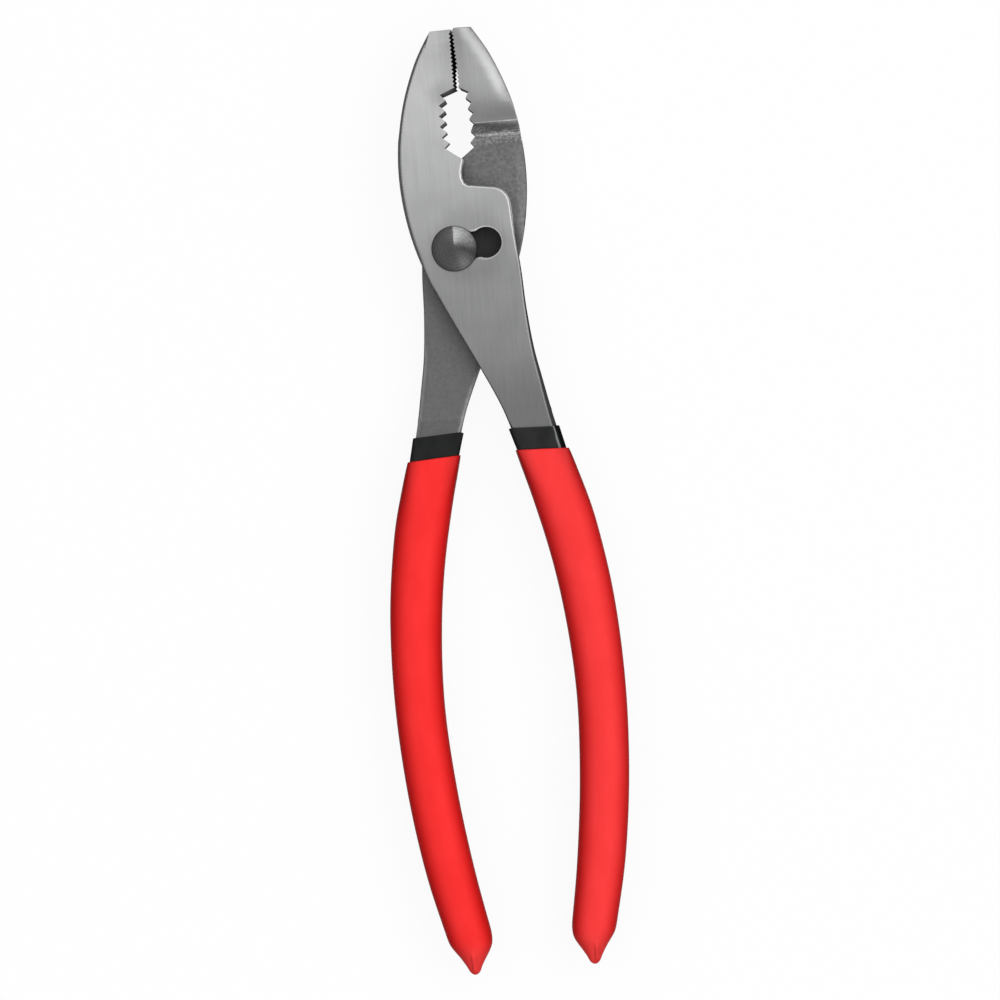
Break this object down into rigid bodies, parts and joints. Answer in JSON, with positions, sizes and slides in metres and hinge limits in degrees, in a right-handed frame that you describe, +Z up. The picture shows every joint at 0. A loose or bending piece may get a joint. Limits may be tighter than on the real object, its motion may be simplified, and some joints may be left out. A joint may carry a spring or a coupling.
{
  "type": "slip joint pliers",
  "caption": "Slip joint pliers with serrated jaws, a toothed pipe grip, a two-position slotted pivot and red dipped vinyl handle grips over black inner sleeves.",
  "frame": {"origin": "on the pivot axis, at the rear face of the bolt's end and nut, which is the lowest face when the tool lies on its back", "axes": "+Y from the pivot towards the jaw tips, +X across the tool towards the second seat of the slot, +Z up through the thickness towards the bolt's head"},
  "size_m": [0.0517, 0.2098, 0.0147],
  "materials": {
    "front_half": "satin ground and plated steel",
    "rear_half": "satin steel with rougher, darker forged faces",
    "pivot_bolt": "turned steel with circular tool marks",
    "pivot_nut": "plain machined steel",
    "front_inner_sleeve": "matte black dipped vinyl",
    "rear_inner_sleeve": "matte black dipped vinyl",
    "front_grip": "soft gloss red dipped vinyl",
    "rear_grip": "soft gloss red dipped vinyl"
  },
  "bodies": {
    "front": {"front_half": "front_half", "front_inner_sleeve": "front_inner_sleeve", "front_grip": "front_grip"},
    "pivot": {"pivot_bolt": "pivot_bolt", "pivot_nut": "pivot_nut"},
    "rear": {"rear_half": "rear_half", "rear_inner_sleeve": "rear_inner_sleeve", "rear_grip": "rear_grip"}
  },
  "joints": [
    {"name": "slip", "type": "slide", "parent": "front", "child": "pivot", "axis": [0.9936, 0.1132, 0], "range_m": [0, 0.0072]},
    {"name": "jaw_hinge", "type": "hinge", "parent": "pivot", "child": "rear", "pos_m": [0, 0, 0.00765], "axis": [0, 0, -1], "range_deg": [0, 50]}
  ]
}
